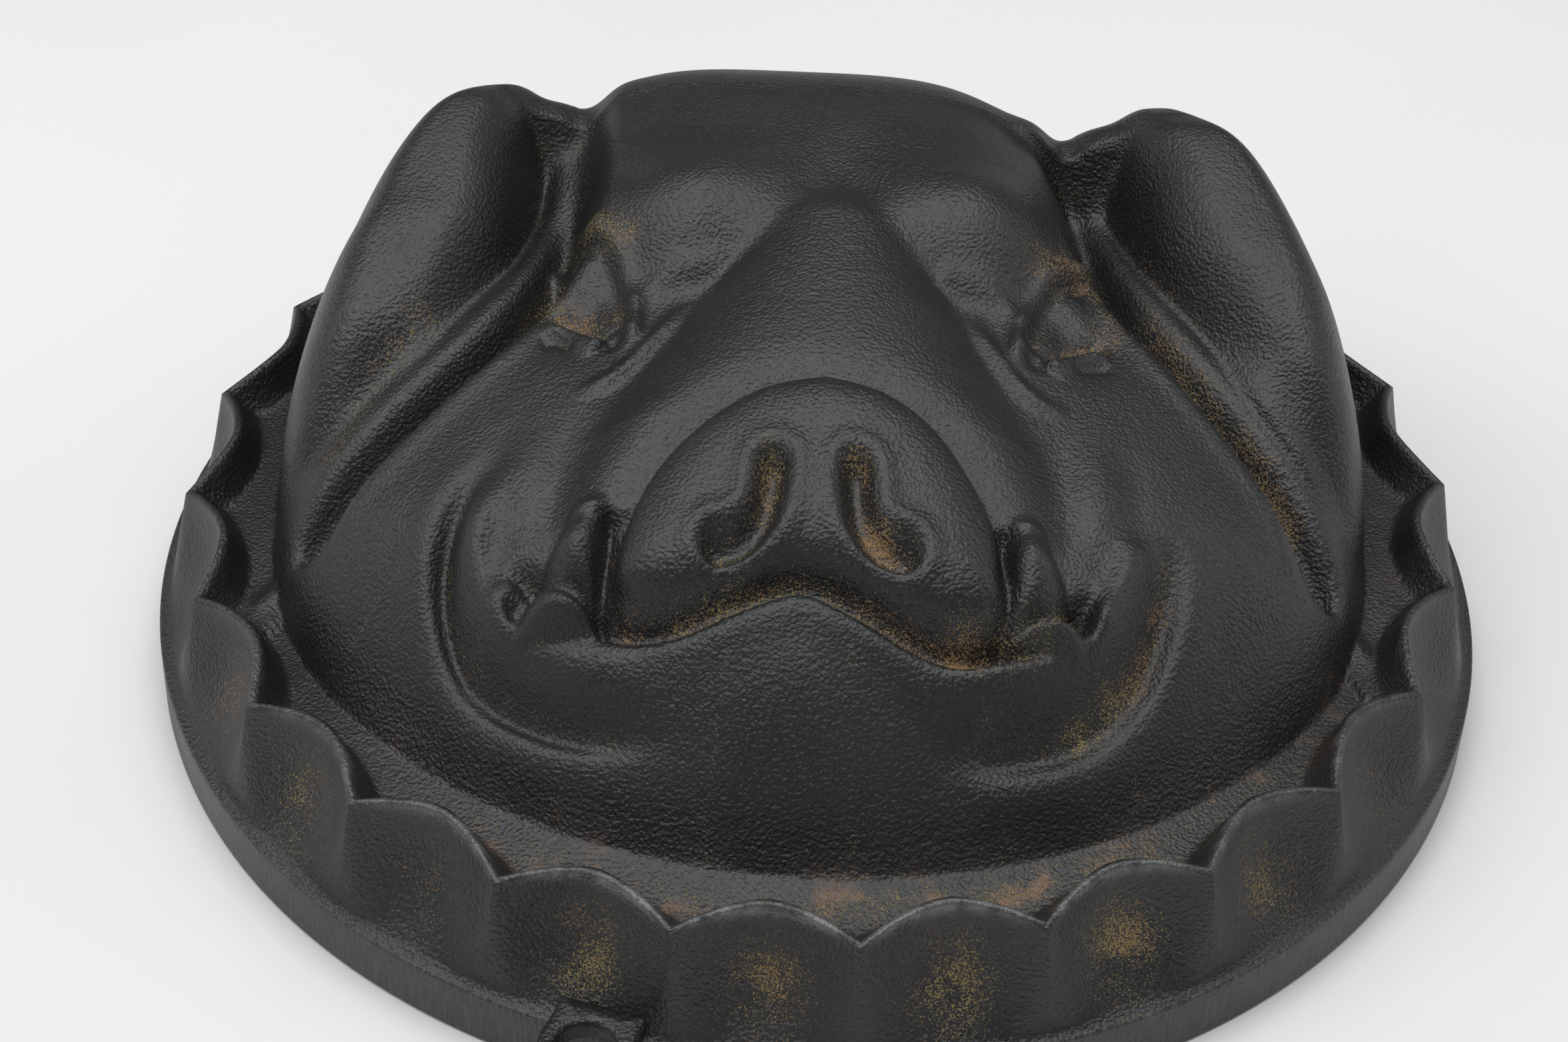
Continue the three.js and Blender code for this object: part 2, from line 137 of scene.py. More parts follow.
def within(x, y, outline):
    """Signed distance into a closed outline, + inside."""
    line = curve(outline + [outline[0]], 4)
    best, odd = np.full(x.shape, 1e9), np.zeros(x.shape, bool)
    for (ax, ay), (bx, by) in zip(line[:-1], line[1:]):
        dx, dy = bx - ax, by - ay
        t = np.clip(((x - ax) * dx + (y - ay) * dy) / (dx * dx + dy * dy), 0, 1)
        best = np.minimum(best, (x - ax - t * dx) ** 2 + (y - ay - t * dy) ** 2)
        crosses = (ay > y) != (by > y)
        odd ^= crosses & (x < ax + dx * (y - ay) / (dy if dy else 1e-9))
    return np.sqrt(best) * np.where(odd, 1, -1)


# ---------------------------------------------------------------- the pig's face
SNOUT_OUTLINE = [(0, -26), (-9, -28), (-17, -33), (-22.5, -39), (-25.5, -46), (-26.5, -52),
                 (-24, -55.6), (-18, -56.4), (-10, -55), (-2, -52.8), (6, -54.8), (14, -57.3), (20, -57.7),
                 (24.5, -55.6), (25.5, -51.5),
                 (24, -45), (20.5, -38), (15, -31.5), (8, -27.5)]
MOUTH = [(-42, -46), (-37, -50.5), (-31, -54), (-25, -57), (-18, -57.9), (-10, -56.2), (-2, -54.3),
         (5, -56.2), (13, -58.7), (20, -59.1), (27, -56.6), (33, -53), (39, -47)]
EAR_LEFT = [(41, 62), (41.5, 44), (41.5, 30), (42, 18), (45, 8), (51, -2), (58.5, -10), (65, -16),
            (70, -20.5), (74, -25.5), (76.5, -30)]
EAR_RIGHT = [(36, 62), (37.5, 46), (40, 32), (43, 20), (48.5, 9), (55, 0), (61.5, -8), (67, -14.5),
             (71, -20), (74, -25.5), (76, -30)]
UPPER_LID = [(43, 16.5), (40.6, 15.8), (38, 13.8), (35, 10.8), (32.2, 6.8), (30, 1), (28.4, -4), (27.8, -9),
             (28.2, -13.5)]
SMILE_LEFT = [(-45.8, -28), (-48.8, -33), (-50.8, -39.5), (-50.8, -45.5), (-48.8, -51.5), (-45.5, -56.5),
              (-40.5, -60.5), (-33, -64.5), (-24, -67.5), (-14, -69)]
SMILE_RIGHT = [(47.6, -35), (48.2, -39.5), (47.2, -45.5), (44.7, -52), (41, -57), (36, -61.5), (29, -65),
               (21, -67.5), (13, -69)]


def jaw(x, y, side):
    """The lower face: a dome whose front slopes more gently than its sides, with cheeks and a chin."""
    length = np.where(y < JAW_CENTRE, JAW_FRONT, JAW_BACK)
    rho = np.hypot(x / JAW_HALF_WIDTH, (y - JAW_CENTRE) / length)
    dome = JAW_RISE * np.clip(1 - rho ** 2.9, 0, 1) ** (0.52 + 0.34 * step(-30, -62, y))
    cheeks, chin = 3 * mound(side, y, 34, 0, 18, 16), 5.5 * mound(x, y, -2, -61, 30, 14)
    return RELIEF_BASE + dome - 30 * np.clip(rho - 1, 0, 1) + cheeks + chin


def skull(x, side, y):
    """The skull's dome, cut in front by the brow."""
    off_centre = x + 2 + 4 * step(24, 50, y)
    along = np.abs(y - SKULL_CENTRE) / SKULL_HALF_LENGTH
    rounded = np.clip(1 - (off_centre / SKULL_HALF_WIDTH) ** 4 - along ** 2.2, 0, 1)
    top = MOAT_HEIGHT - 2 + SKULL_RISE * np.sqrt(rounded)
    brow = 2 - 2 * step(10, 24, side) + 5 * step(28, 42, side)
    front = 61.5 + 1.45 * (y - brow) + 14 * np.exp(-(side / 9) ** 2)
    return under(top, front, 9) + 4 * mound(side, y, 22, 13, 15, 10) - 1.6 * mound(side, y, 0, 16, 7, 12)


def disc_plane(side, y):
    return SNOUT_TOP + SNOUT_TILT * (y + SNOUT_BACK) - SNOUT_CROWN * (side / SNOUT_HALF_WIDTH) ** 2


def muzzle(side, y, in_snout):
    half_width = 35 * np.sqrt(np.clip((17 - y) / 46, 0.02, 1))
    top = MUZZLE_TOP - 3 * step(14, -24, y) - 0.06 * np.clip(y - 8, 0, 40) ** 2
    ridge = MUZZLE_DEPTH * (np.sqrt(np.clip(1 - (side / half_width) ** 2.2, 0, 1)) - 1)
    z = top + ridge - 2 * np.clip(side - half_width, 0, 40)
    beside_disc = disc_plane(side, y) - SNOUT_EDGE - 1 + 0.55 * np.clip(-in_snout, 0, 20)
    return under(z, beside_disc, 5) - 1.6 * np.clip(-43 - y, 0, 40)


def snout_disc(side, y, in_snout):
    plane = disc_plane(side, y)
    disc = plane - SNOUT_EDGE * (1 - arch(in_snout / SNOUT_EDGE_WIDTH))
    return np.where(in_snout > 0, disc, plane - SNOUT_EDGE + 4 * in_snout)


def nostrils(x, y):
    z = 0
    for hand in (-1, 1):
        out_from_middle = [(5.6, -41.5), (5.9, -45), (6.8, -48.4), (9.2, -51), (12.2, -51.9)]
        line = [(hand * out - 0.8, back) for out, back in out_from_middle]
        d, _, along = nearest(x, y, line)
        width = 1.9 + 0.2 * along
        lip = 0.6 * np.exp(-((d - width - 1.8) / 1.6) ** 2)
        z = z - (3.2 + 0.6 * along) * np.exp(-(d / width) ** 2.4) + lip
    return z


def eye_and_lids(side, y):
    z = -4 * mound(side, y, 35.5, 1, 7.5, 10, 15)
    z += 2.3 * stroke(side, y, UPPER_LID, 1.8)
    z -= 2 * stroke(side, y, [(39, 14), (36, 10), (33.3, 7), (31, 2), (29.4, -4), (29.2, -8)], 1.3)
    z += 2.4 * mound(side, y, 35.6, 4.5, 3.6, 5.5, 25)
    z -= 1.4 * stroke(side, y, [(41, -0.8), (37.5, -2.2), (34, -5.5), (31, -8.3)], 1.5, 0.3)
    z += 1.5 * stroke(side, y, [(41.5, -3.6), (38, -4.8), (34.7, -8), (31.8, -11)], 1.6, 0.3)
    z -= 0.7 * stroke(side, y, [(41.5, -6.6), (38.2, -7.4), (35.6, -9.6)], 1.2, 0.3, 0.3)
    bag = [(19.5, -1.5), (22.5, -7.5), (26.5, -14), (30.5, -18.2), (35.5, -19.5)]
    z += 1.3 * stroke(side, y, bag, 1.5, 0.3, 0.3)
    z += 0.6 * stroke(side, y, [(28.5, -3.5), (25, 0.6), (21, 2.2), (15, 3)], 1.7)
    return z - 1.4 * mound(side, y, 29.6, -9.2, 1.8, 2)


def mouth_and_tusks(x, y, side):
    d, hand, along = nearest(x, y, MOUTH)
    z = -3 * np.exp(-(d / 1.6) ** 2) * fade(along, 0.06, 0.06)
    z += 1.2 * np.exp(-((d + hand * 3.4) / 2.6) ** 2) * fade(along, 0.1, 0.1)
    z += 3 * mound(side, y, 39.8, -52, 3.6, 5, 10) - 3.4 * mound(side, y, 38.6, -52.4, 1.9, 2.2)
    d, turn, along = nearest(side, y, [(29, -40), (30, -45), (31.3, -50), (32, -54), (32.2, -57.5)])
    leaf = np.clip(1 - (d / (1.4 + 4.9 * along ** 0.6)) ** 2, 0, 1)
    z += 6.2 * leaf * step(0, 0.45, along) * step(0, 0.1, 1 - along)
    return z - 1.2 * stroke(side, y, [(26.6, -42), (27, -48), (27.2, -54), (26.6, -58)], 1)


def folds(x, y, side):
    z = 0
    for line, width in ((SMILE_LEFT, 1.7), (SMILE_RIGHT, 2.4)):
        d, hand, along = nearest(x, y, line)
        ends = fade(along, 0.28, 0.25)
        z = z - 3.3 * np.exp(-(d / width) ** 2) * ends
        inside = hand if line is SMILE_LEFT else -hand
        z = z + 2.2 * np.exp(-((d - width - 2.2) / 2.6) ** 2) * ends * (0.9 + 0.4 * inside)
    z -= 0.9 * stroke(side, y, [(31.5, -22), (33.5, -30), (35.5, -38), (36.5, -45)], 3.4, 0.4, 0.35)
    z += 0.9 * mound(side, y, 39.5, -35, 4.5, 11, -8)
    return z - 0.6 * stroke(side, y, [(43.5, -22), (44.5, -31), (44.5, -40)], 2.6, 0.45, 0.45)


def ear(x, y, hand):
    """Height of one ear, how much the gap beside it sinks, and how much the cheek's edge beyond rises."""
    d, turn, along = nearest(x * hand, y, EAR_LEFT if hand < 0 else EAR_RIGHT, reach=60)
    inward = d * turn
    front_fall = 8 * step(40, 8, y) + 10 * step(18, -8, y) + 25 * step(2, -34, y)
    crown = EAR_CROWN - front_fall - 30 * step(36, 84, y) - 0.019 * (inward - 16) ** 2
    outer_side = arch((EAR_REACH - np.hypot(x, y)) / 13)
    inner_side = arch(inward / (6 + 9 * step(-8, 15, y) - 5 * step(30, 50, y)))
    z = MOAT_HEIGHT - 1 + (crown - MOAT_HEIGHT + 1) * outer_side * inner_side
    rolled = step(18, 2, y) * step(-33, -24, y)
    z += rolled * (2.2 * np.exp(-((inward - 3.4) / 2.2) ** 2) - 1.4 * np.exp(-((inward - 8.5) / 3) ** 2))
    ends = fade(along, 0.12, 0.12)
    gap = np.exp(-((inward + 2.4) / 3.2) ** 2) * ends * (1 - 0.55 * step(16, 44, y))
    edge = np.exp(-((inward + 7.8) / 2.6) ** 2) * ends * (1 - 0.6 * step(14, 32, y))
    return np.where(inward > 0, z, -50), gap, edge


def head_height(x, y):
    middle = -1.9 + (y + 59) * 0.03
    side, in_snout = np.abs(x - middle), within(x, y, SNOUT_OUTLINE)
    z = over(jaw(x, y, side), skull(x, side, y), 5)
    saddle = 59.5 - 2.6 * np.clip(44 - y, 0, 90) - 50 * step(46, 84, y)
    saddle = saddle - 0.25 * np.clip(side - 49, 0, 20) ** 2
    z = over(z, np.where(side < 70, saddle, -50), 6)
    z = over(z, muzzle(side, y, in_snout), 3)
    z = np.where(in_snout > -5, over(z, snout_disc(side, y, in_snout), 0.8), z)
    z = z + nostrils(x, y) + eye_and_lids(side, y) + mouth_and_tusks(x, y, side) + folds(x, y, side)
    z = z + 1.2 * mound(x, y, -4, -66, 14, 8)
    for hand in (-1, 1):
        lobe, gap, edge = ear(x, y, hand)
        inside = step(22, 34, z)
        z = over(z, lobe, 1 + 5 * step(32, 50, y)) - 8 * gap * inside + 1.1 * edge * inside
    return over(z, RELIEF_BASE, 8 + 4 * step(-30, -60, y))


# ---------------------------------------------------------------- the rim
def across(angle):
    """-1..1 over one petal, cusp to cusp."""
    return ((angle - CUSP_ANGLE) * PETALS / 360) % 1.0 * 2 - 1


def crest(angle):
    u = np.abs(across(angle))
    return CREST_RADIUS + CUSP_OUT * u ** 1.7, CREST_HEIGHT - CUSP_DROP * u ** 2


def petal(angle, t):
    """The petals' outer face, t 0 at the crest and 1 at the foot."""
    top_r, top_z = crest(angle)
    width = 1.04 - 0.28 * t
    bowl = np.clip(1 - np.abs(across(angle) / width) ** 2.4, 0, 1) ** 1.3
    hollow = 2.3 * bowl * math.sin(math.pi * min(1, t) ** 0.9) ** 0.8
    r = top_r + (PETAL_FOOT_RADIUS - top_r) * t - 0.85 * hollow
    return r, top_z + (PETAL_FOOT_HEIGHT - top_z) * t - 0.45 * hollow


def bank(x, y):
    """Height of the petals' backs, which rise from the moat to the crest."""
    r, angle = np.hypot(x, y), np.degrees(np.arctan2(y, x))
    top_r, top_z = crest(angle)
    t = np.clip((r - BANK_FOOT) / (top_r - LIP - BANK_FOOT), 0, 1)
    return RELIEF_BASE + (top_z - 0.4 - RELIEF_BASE) * t ** 1.1


def outer_skin():
    """Rings of points from the middle of the face out and down to the resting plane."""
    angle = np.arange(AROUND) * 360.0 / AROUND
    c, s = np.cos(np.radians(angle)), np.sin(np.radians(angle))
    crest_r, crest_z = crest(angle)
    share = (np.arange(1, HEAD_RINGS + 1) / HEAD_RINGS)[:, None]
    r = (crest_r - LIP)[None] * share
    x, y = r * c, r * s
    head = np.stack([x, y, over(head_height(x, y), bank(x, y), 1)], -1)
    rings = []
    for inset, drop in ((1.1, 0.12), (0.75, 0), (0.4, 0.12), (0.12, 0.4)):
        rings.append((crest_r - inset, crest_z - drop))
    for t in np.linspace(0.035, 1, 34):
        rings.append(petal(angle, t))
    band = ((99.5, 8.75), (99.9, 8.6), (100, 8.3), (100, 6), (100, 4), (100, 2), (100, 0.35), (99.75, 0))
    for r, z in band:
        rings.append((np.full(AROUND, r), np.full(AROUND, z)))
    rim = np.array([np.stack([r * c, r * s, z], -1) for r, z in rings])
    return np.concatenate([head, rim])


def lowered(heights, cell):
    """The heights' offset downward by the wall, found by rolling a ball under them."""
    reach, low = int(WALL / cell), None
    for i in range(-reach, reach + 1):
        for j in range(-reach, reach + 1):
            flat = (i * i + j * j) * cell * cell
            if flat > WALL * WALL:
                continue
            moved = np.roll(heights, (i, j), (0, 1)) - math.sqrt(WALL * WALL - flat)
            low = moved if low is None else np.minimum(low, moved)
    return low


def inner_skin():
    """Rings of points inside, from the mouth's edge up to the middle."""
    cell, half = 0.75, 102.0
    ticks = np.arange(-half, half + cell / 2, cell)
    x, y = np.meshgrid(ticks, ticks, indexing="ij")
    r, angle = np.hypot(x, y), np.degrees(np.arctan2(y, x))
    crest_r, crest_z = crest(angle)
    slope = (r - crest_r) / (PETAL_FOOT_RADIUS - crest_r)
    outside = crest_z + (PETAL_FOOT_HEIGHT - crest_z) * slope - 0.8
    heights = np.where(r < crest_r - LIP, over(head_height(x, y), bank(x, y), 1), outside)
    heights = np.where(r > PETAL_FOOT_RADIUS, BAND_HEIGHT, heights)
    heights = np.where(r > RIM_RADIUS, -99, heights)
    low = lowered(heights, cell)
    angle = np.arange(AROUND) * 360.0 / AROUND
    c, s = np.cos(np.radians(angle)), np.sin(np.radians(angle))
    rings, mouth = [], RIM_RADIUS - WALL
    for r, z in ((mouth + 0.3, 0), (mouth, 0.3), (mouth, 2.5), (mouth, 5)):
        rings.append(np.stack([r * c, r * s, np.full(AROUND, z)], -1))
    for r in np.linspace(mouth - 0.8, 0.8, 118):
        px, py = (r * c + half) / cell, (r * s + half) / cell
        i, j = np.floor(px).astype(int), np.floor(py).astype(int)
        u, v = px - i, py - j
        z = (low[i, j] * (1 - u) * (1 - v) + low[i + 1, j] * u * (1 - v)
             + low[i, j + 1] * (1 - u) * v + low[i + 1, j + 1] * u * v)
        rings.append(np.stack([r * c, r * s, np.maximum(z, 5.2)], -1))
    return np.array(rings)


# ---------------------------------------------------------------- meshes
def mesh_object(name, points, loops, sizes, smooth=True):
    mesh = bpy.data.meshes.new(name)
    mesh.vertices.add(len(points))
    mesh.vertices.foreach_set("co", np.asarray(points, np.float32).ravel())
    mesh.loops.add(len(loops))
    mesh.loops.foreach_set("vertex_index", np.asarray(loops, np.int32))
    mesh.polygons.add(len(sizes))
    starts = np.concatenate([[0], np.cumsum(sizes)[:-1]]).astype(np.int32)
    mesh.polygons.foreach_set("loop_start", starts)
    mesh.update(calc_edges=True)
    mesh.validate()
    mesh.polygons.foreach_set("use_smooth", np.full(len(mesh.polygons), smooth))
    obj = bpy.data.objects.new(name, mesh)
    bpy.context.collection.objects.link(obj)
    return obj


def ring_faces(rings, around):
    """Quads of a stack of closed rings, wound so that they face out when the rings run down the outside."""
    i = np.arange(around)
    j = (i + 1) % around
    k = (np.arange(rings - 1) * around)[:, None]
    quads = np.stack([k + i, k + around + i, k + around + j, k + j], -1)
    return quads.reshape(-1)


def casting_piece(centre):
    outer = outer_skin()
    inner = inner_skin()
    rings = np.concatenate([outer, inner])
    count = len(rings)
    poles = np.array([[0, 0, outer[0, :, 2].mean()], [0, 0, inner[-1, :, 2].mean()]])
    points = np.concatenate([rings.reshape(-1, 3), poles]) * MM + centre
    quads = ring_faces(count, AROUND)
    i, j = np.arange(AROUND), (np.arange(AROUND) + 1) % AROUND
    top = np.stack([np.full(AROUND, count * AROUND), i, j], -1).reshape(-1)
    last = (count - 1) * AROUND
    bottom = np.stack([np.full(AROUND, count * AROUND + 1), last + j, last + i], -1).reshape(-1)
    loops = np.concatenate([quads, top, bottom])
    sizes = [4] * (len(quads) // 4) + [3] * (2 * AROUND)
    obj = mesh_object("mould_relief", points, loops, sizes)
    paint_masks(obj, rings, len(outer))
    return obj


def hollow_share(rings):
    """How deep each point lies in a crease: nearby heights, less its own."""
    z = rings[..., 2]
    total = 0
    for reach in (3, 6):
        up = np.concatenate([z[:1].repeat(reach, 0), z[:-reach]])
        down = np.concatenate([z[reach:], z[-1:].repeat(reach, 0)])
        radius = np.hypot(rings[..., 0], rings[..., 1])
        turn = np.clip(reach * 0.36 / np.maximum(radius, 4) * AROUND / (2 * np.pi), 1, 60).mean(1).astype(int)
        sides = np.stack([np.roll(row, t) + np.roll(row, -t) for row, t in zip(z, turn)])
        total = total + (up + down + sides) / 4 - z
    return total / 2


# Petals' middles in degrees, with how thickly the golden specks lie on each.
SPECKED_PETALS = {192.5: 0.25, 207.5: 0.5, 222.5: 0.7, 237.5: 0.35, 252.5: 0.95, 267.5: 0.8, 282.5: 1.0,
                  297.5: 1.0, 312.5: 0.7, 327.5: 0.3}
# Creases that hold golden dust, as lines over the face.
DUSTY = [(SMILE_RIGHT[2:6], 2.4, 0.45), (MOUTH[3:10], 1.4, 0.4),
         ([(20, -60), (27, -57.5), (33, -54)], 2.4, 0.9),
         ([(-7, -40), (-7.8, -47), (-12, -52)], 2.2, 0.6), ([(5, -40), (5.6, -47), (11, -52)], 2.4, 0.8),
         ([(47, 12), (55, 0), (62, -9), (68, -17)], 3.0, 0.55), ([(-60, 2), (-66, -6), (-70, -14)], 3.0, 0.5),
         ([(30, 8), (36, 12), (41, 8), (40, 0), (33, -4)], 3.0, 0.6),
         ([(-30, 8), (-36, 12), (-41, 8), (-40, 0), (-31, -4)], 3.0, 0.6)]


def degrees_from(angle, middle):
    return (angle - middle + 180) % 360 - 180


def dust_amount(rings, outer_count, angle, rim):
    x, y, z = rings[..., 0], rings[..., 1], rings[..., 2]
    dust = np.zeros(x.shape)
    for middle, amount in SPECKED_PETALS.items():
        round_petal = np.exp(-(degrees_from(angle, middle) / 3.4) ** 2)
        dust += amount * round_petal * np.exp(-((z - 16.5) / 6) ** 2) * rim
    flat_x, flat_y = x[:outer_count], y[:outer_count]
    for line, width, amount in DUSTY:
        d, _, _ = nearest(flat_x, flat_y, line)
        dust[:outer_count] += amount * np.exp(-(d / width) ** 2)
    return dust


def paint_masks(obj, rings, outer_count):
    """Point values that the iron's shader reads: dust, rust, the painted highlight on the front crest lip,
    band and the distance round.
    """
    x, y, z = rings[..., 0], rings[..., 1], rings[..., 2]
    radius, angle = np.hypot(x, y), np.degrees(np.arctan2(y, x)) % 360
    outside = np.zeros(x.shape)
    outside[:outer_count] = 1
    hollow = np.zeros(x.shape)
    hollow[:outer_count] = hollow_share(rings[:outer_count])
    rim = (radius > 89) & (outside > 0)
    dust = dust_amount(rings, outer_count, angle, rim)
    moat = np.exp(-((radius - 84.5) / 3.6) ** 2) * outside * (z < 27)
    front = np.exp(-(degrees_from(angle, 285) / 48) ** 2)
    values = {
        "dust": dust + 0.6 * moat * front + 0.25 * step(0.12, 0.6, hollow) * (radius < 80),
        "rust": moat * front,
        # painted highlight: a thin lighter line along the crest's lip, kept to the front arc
        "lip_highlight": rim * np.exp(-((z - 26.8) / 1.1) ** 2) * np.exp(-(degrees_from(angle, 270) / 55) ** 2),
        "band": (radius > 99.3) * (z < 8.7) * 1.0 + (1 - outside) * (z < 6) * (radius > 95),
        "around": angle / 360 * 2 * np.pi * RIM_RADIUS,
    }
    for name, field in values.items():
        attribute = obj.data.attributes.new(name, "FLOAT", "POINT")
        flat = np.concatenate([field.ravel(), [0, 0]]).astype(np.float32)
        attribute.data.foreach_set("value", flat)


def eye_piece(centre):
    """The hanging eye: a rounded tab with a hole, its root buried in the rim's wall."""
    facets, corner = 96, 0.9
    outer_r, low, nip, dip = EYE_HOLE + EYE_LIMB, EYE_TOP - EYE_THICKNESS, 0.25 * corner, 0.3 * corner
    profile = [(EYE_HOLE + 0.5, low), (outer_r - corner, low), (outer_r - nip, low + dip),
               (outer_r, low + corner), (outer_r, EYE_TOP - corner), (outer_r - nip, EYE_TOP - dip),
               (outer_r - corner, EYE_TOP), (EYE_HOLE + corner, EYE_TOP), (EYE_HOLE + nip, EYE_TOP - dip),
               (EYE_HOLE, EYE_TOP - corner), (EYE_HOLE, low + 0.5)]
    root = 97.0 - EYE_CENTRE                    # how far the tab reaches back into the wall
    points = []
    for r, z in profile:
        for k in range(facets):
            a = 2 * math.pi * k / facets
            x, y = r * math.cos(a), r * math.sin(a)
            if x < 0 and r > EYE_HOLE + 1.2:     # square the back of the tab off toward the wall
                y = math.copysign(abs(y) + (r - abs(y)) * min(1, -x / r * 1.3) * 0.9, y)
                x = root * min(1, -x / r * 1.15) if r > outer_r - 1.2 else x
            points.append((x, y, z))
    points = np.array(points)
    a = math.radians(EYE_ANGLE)
    x, y = points[:, 0] + EYE_CENTRE, points[:, 1]
    c, s = math.cos(a), math.sin(a)
    points = np.stack([x * c - y * s, x * s + y * c, points[:, 2]], -1)
    quads = ring_faces(len(profile), facets)
    i, j = np.arange(facets), (np.arange(facets) + 1) % facets
    last = (len(profile) - 1) * facets
    closing = np.stack([last + i, i, j, last + j], -1).reshape(-1)
    loops = np.concatenate([quads, closing])
    obj = mesh_object("mould_eye", points * MM + centre, loops, [4] * (len(loops) // 4))
    flip_if_inside_out(obj)
    return obj


def flip_if_inside_out(obj):
    shape = bmesh.new()
    shape.from_mesh(obj.data)
    bmesh.ops.recalc_face_normals(shape, faces=shape.faces)
    shape.to_mesh(obj.data)
    shape.free()


# ---------------------------------------------------------------- materials
class Nodes:
    """Short calls for a material's node tree."""

    def __init__(self, name):
        self.material = bpy.data.materials.new(name)
        self.material.use_nodes = True
        self.tree = self.material.node_tree
        self.shader = self.tree.nodes["Principled BSDF"]

    def add(self, kind, **sockets):
        node = self.tree.nodes.new(kind)
        for key, value in sockets.items():
            self.put(node.inputs[key.replace("_", " ")], value)
        return node

    def put(self, socket, value):
        if isinstance(value, bpy.types.NodeSocket):
            self.tree.links.new(value, socket)
        else:
            socket.default_value = value

    def noise(self, scale, detail=2.0, roughness=0.5, vector=None):
        node = self.add("ShaderNodeTexNoise", Scale=scale, Detail=detail, Roughness=roughness)
        self.put(node.inputs["Vector"], vector or self.place())
        return node.outputs["Fac"]

    def place(self):
        if not hasattr(self, "_place"):
            self._place = self.add("ShaderNodeTexCoord").outputs["Object"]
        return self._place

    def value(self, name):
        node = self.add("ShaderNodeAttribute")
        node.attribute_name = name
        return node.outputs["Fac"]

    def math(self, operation, a, b=0.0, clamp=False):
        node = self.add("ShaderNodeMath")
        node.operation, node.use_clamp = operation, clamp
        self.put(node.inputs[0], a)
        self.put(node.inputs[1], b)
        return node.outputs[0]

    def ramp(self, value, low, high, start=0.0, end=1.0):
        node = self.add("ShaderNodeMapRange", Value=value)
        node.interpolation_type = "SMOOTHSTEP"
        for key, number in (("From Min", low), ("From Max", high), ("To Min", start), ("To Max", end)):
            node.inputs[key].default_value = number
        return node.outputs["Result"]

    def mix(self, share, a, b):
        node = self.add("ShaderNodeMix")
        node.data_type = "RGBA"
        self.put(node.inputs["Factor"], share)
        self.put(node.inputs[6], a)
        self.put(node.inputs[7], b)
        return node.outputs[2]

    def bump(self, height, strength, distance, normal=None):
        node = self.add("ShaderNodeBump", Height=height, Strength=strength, Distance=distance)
        if normal is not None:
            self.put(node.inputs["Normal"], normal)
        return node.outputs["Normal"]


def band_scratches(n):
    """Fine upright marks on the ground band."""
    lift = n.add("ShaderNodeSeparateXYZ", Vector=n.place()).outputs["Z"]
    strip = n.add("ShaderNodeCombineXYZ", X=n.value("around"), Y=n.math("MULTIPLY", lift, 60.0))
    return n.noise(2.6, 3.0, 0.6, strip.outputs["Vector"])


def golden_specks(n, patches):
    """Where the dust lies: specks that thicken with the dust value."""
    dust = n.math("MULTIPLY", n.value("dust"), n.ramp(patches, 0.3, 0.62, 0.35, 1.25))
    specks = n.math("ADD", n.noise(3600, 2.0, 0.65), n.math("MULTIPLY", dust, 0.19))
    return n.math("MULTIPLY", n.ramp(specks, 0.655, 0.72), n.ramp(dust, 0.02, 0.2))


def iron_colour(n, clouds, grain, ground, lip_highlight, dusty, patches):
    """Black iron, lighter on the grain and the ground band, with a painted highlight along the front crest
    lip, under golden dust and rust.
    """
    colour = n.mix(n.ramp(clouds, 0.35, 0.7), (0.008, 0.0083, 0.009, 1), (0.0135, 0.013, 0.0125, 1))
    colour = n.mix(n.math("MULTIPLY", n.ramp(grain, 0.5, 0.75), 0.35), colour, (0.035, 0.033, 0.03, 1))
    colour = n.mix(ground, colour, (0.075, 0.070, 0.064, 1))
    # painted highlight: the front crest lip is lightened toward pale grey
    colour = n.mix(n.math("MULTIPLY", lip_highlight, 0.75), colour, (0.17, 0.165, 0.16, 1))
    gold = n.mix(n.ramp(n.noise(90, 2.0), 0.4, 0.6), (0.27, 0.20, 0.07, 1), (0.28, 0.165, 0.065, 1))
    colour = n.mix(n.math("MULTIPLY", dusty, 0.85), colour, gold)
    rust = n.math("MULTIPLY", n.value("rust"), n.ramp(patches, 0.5, 0.7))
    return n.mix(n.math("MULTIPLY", rust, 0.55), colour, (0.26, 0.13, 0.07, 1))


def iron_material():
    n = Nodes("black_iron")
    grain, waves, clouds = n.noise(1900, 1.2, 0.4), n.noise(300, 2.0, 0.5), n.noise(38, 4.0, 0.6)
    patches, scratches, band = n.noise(130, 3.0, 0.6), band_scratches(n), n.value("band")
    ground = n.math("MULTIPLY", band, n.ramp(scratches, 0.4, 0.7, 0.15, 0.6))
    # mask of the painted highlight on the front crest lip, which also makes the lip glossier
    lip_highlight = n.math("MULTIPLY", n.value("lip_highlight"), n.ramp(waves, 0.35, 0.6, 0.3, 1.0))
    dusty = golden_specks(n, patches)

    rough = n.ramp(clouds, 0.3, 0.7, 0.40, 0.50)
    rough = n.math("ADD", rough, n.math("MULTIPLY", dusty, 0.3))
    # the painted lip highlight's mask also lowers the roughness along the lip
    rough = n.math("SUBTRACT", rough, n.math("MULTIPLY", lip_highlight, 0.14), clamp=True)
    normal = n.bump(waves, 0.25, 0.0005)
    normal = n.bump(grain, 0.85, 0.0003, normal)
    normal = n.bump(n.math("MULTIPLY", scratches, band), 0.5, 0.0002, normal)
    normal = n.bump(dusty, 0.4, 0.0001, normal)
    n.put(n.shader.inputs["Base Color"], iron_colour(n, clouds, grain, ground, lip_highlight, dusty, patches))
    n.put(n.shader.inputs["Roughness"], rough)
    n.put(n.shader.inputs["Normal"], normal)
    n.shader.inputs["Metallic"].default_value = 0.15
    n.shader.inputs["IOR"].default_value = 1.64
    n.shader.inputs["Specular Tint"].default_value = (0.94, 0.965, 1.0, 1)
    return n.material


